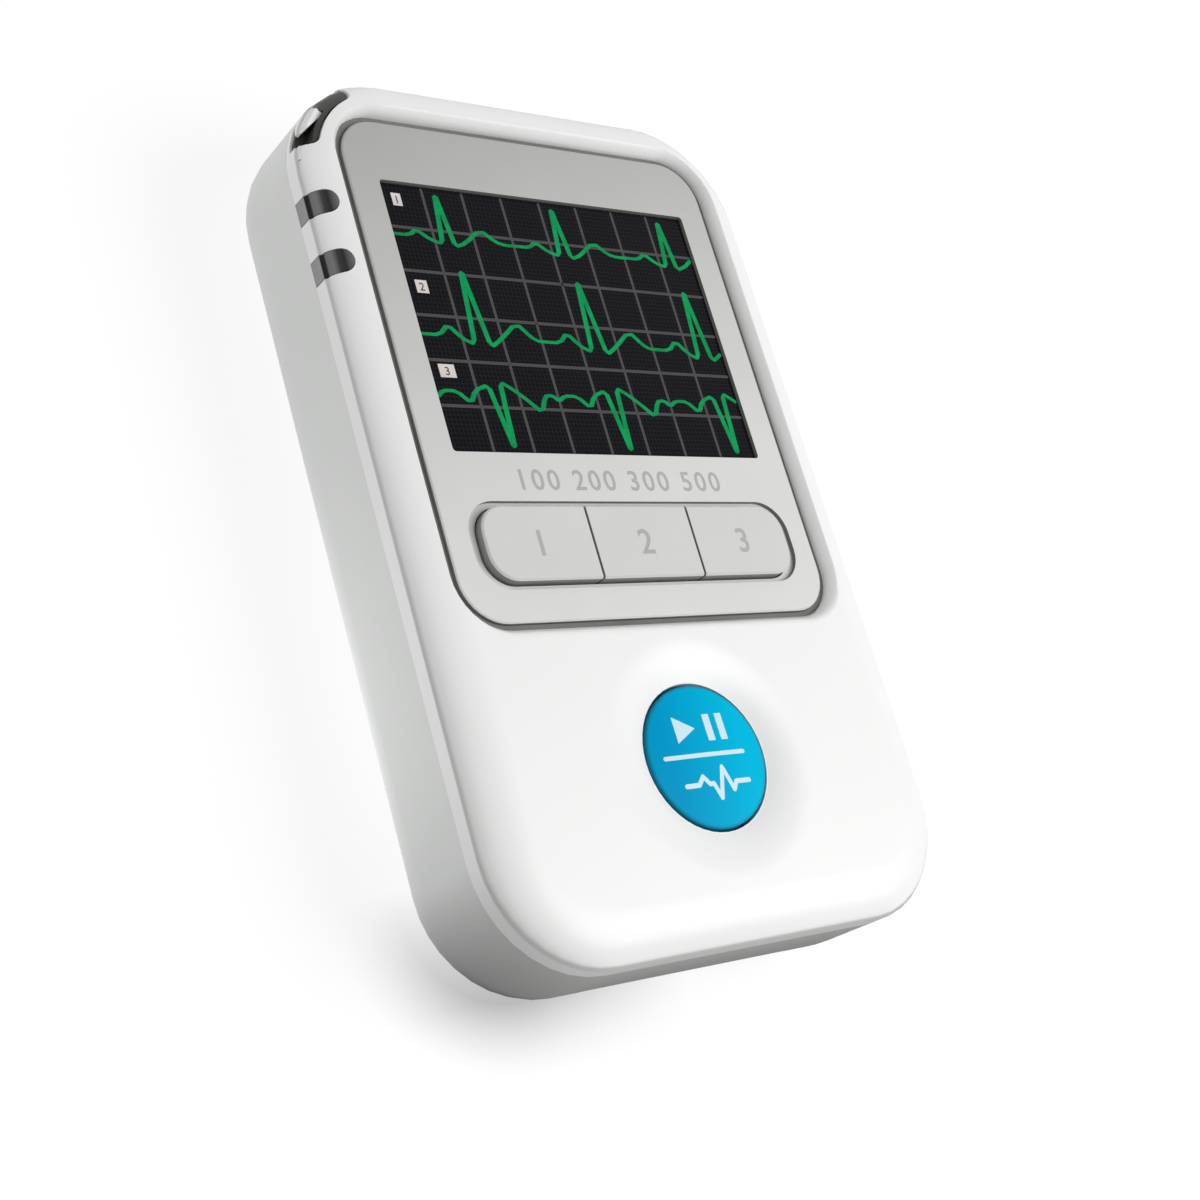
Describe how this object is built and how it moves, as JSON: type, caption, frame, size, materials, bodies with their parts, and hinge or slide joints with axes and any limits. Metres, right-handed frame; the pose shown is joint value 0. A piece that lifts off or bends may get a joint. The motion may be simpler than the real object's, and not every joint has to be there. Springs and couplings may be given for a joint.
{
  "type": "holter monitor",
  "caption": "Pocket heart recorder with a rounded two-tone case, colour display, row of soft keys, round event button, lanyard eyelet and sliding battery door.",
  "frame": {"origin": "centre of the flat back, at the level it lies on", "axes": "+Z out of the front face, +Y towards the lanyard end, +X to the right side seen from the front"},
  "size_m": [0.0586, 0.0952, 0.018],
  "materials": {
    "shell_white": "satin moulded white",
    "shell_grey": "fine matte moulded grey",
    "panel_grey": "fine matte painted grey",
    "key_grey": "fine matte light grey",
    "button_blue": "satin blue with a soft gloss",
    "smoke_plastic": "glossy smoked",
    "display_black": "polished black behind a clear face",
    "cell_glass": "polished",
    "foam": "dark soft foam",
    "board_green": "solder mask",
    "clear_sheet": "clear film",
    "ribbon": "flexible ribbon",
    "black_plastic": "moulded black",
    "lamp": "clear lamp",
    "steel": "plated steel",
    "nickel": "nickel plated spring steel",
    "cell_sleeve": "printed sleeve over the cell"
  },
  "bodies": {
    "recorder_body": {"front_housing": "shell_white", "eyelet_liner": "smoke_plastic", "front_panel": "panel_grey", "panel_seal": "foam", "display_window": "display_black", "lcd_gasket": "foam", "lcd_cell": "cell_glass", "lcd_frame": "steel", "lcd_flex": "ribbon", "key_board": "board_green", "dome_sheet": "clear_sheet", "dome_switch_1": "steel", "dome_switch_2": "steel", "dome_switch_3": "steel", "dome_switch_4": "steel", "main_board": "board_green", "shield_can": "nickel", "beeper": "black_plastic", "card_socket": "nickel", "memory_card": "black_plastic", "board_link": "black_plastic", "indicator_window_1": "smoke_plastic", "indicator_window_2": "smoke_plastic", "indicator_led_1": "lamp", "indicator_led_2": "lamp", "lead_socket_shell": "steel", "lead_socket_core": "black_plastic", "usb_port": "steel", "rear_housing": "shell_grey", "battery_1": "cell_sleeve", "battery_2": "cell_sleeve", "battery_contact_1": "nickel", "battery_contact_2": "nickel", "spring_plate_1": "nickel", "spring_plate_2": "nickel", "battery_spring_1": "nickel", "battery_spring_2": "nickel", "housing_screw_1": "steel", "housing_screw_2": "steel", "housing_screw_3": "steel", "housing_screw_4": "steel", "board_screw_1": "steel", "board_screw_2": "steel"},
    "soft_key_1_body": {"soft_key_1": "key_grey"},
    "soft_key_2_body": {"soft_key_2": "key_grey"},
    "soft_key_3_body": {"soft_key_3": "key_grey"},
    "event_button_body": {"event_button": "button_blue"},
    "battery_door_body": {"battery_door": "shell_grey"}
  },
  "joints": [
    {"name": "soft_key_1_press", "type": "slide", "parent": "recorder_body", "child": "soft_key_1_body", "axis": [0, 0, -1], "range_m": [0, 0.0004], "stiffness_N_per_m": 1200, "springref_m": -0.0003},
    {"name": "soft_key_2_press", "type": "slide", "parent": "recorder_body", "child": "soft_key_2_body", "axis": [0, 0, -1], "range_m": [0, 0.0004], "stiffness_N_per_m": 1200, "springref_m": -0.0003},
    {"name": "soft_key_3_press", "type": "slide", "parent": "recorder_body", "child": "soft_key_3_body", "axis": [0, 0, -1], "range_m": [0, 0.0004], "stiffness_N_per_m": 1200, "springref_m": -0.0003},
    {"name": "event_button_press", "type": "slide", "parent": "recorder_body", "child": "event_button_body", "axis": [0, 0, -1], "range_m": [0, 0.0004], "stiffness_N_per_m": 1200, "springref_m": -0.0004},
    {"name": "battery_door_slide", "type": "slide", "parent": "recorder_body", "child": "battery_door_body", "axis": [0, -1, 0], "range_m": [0, 0.056]}
  ]
}
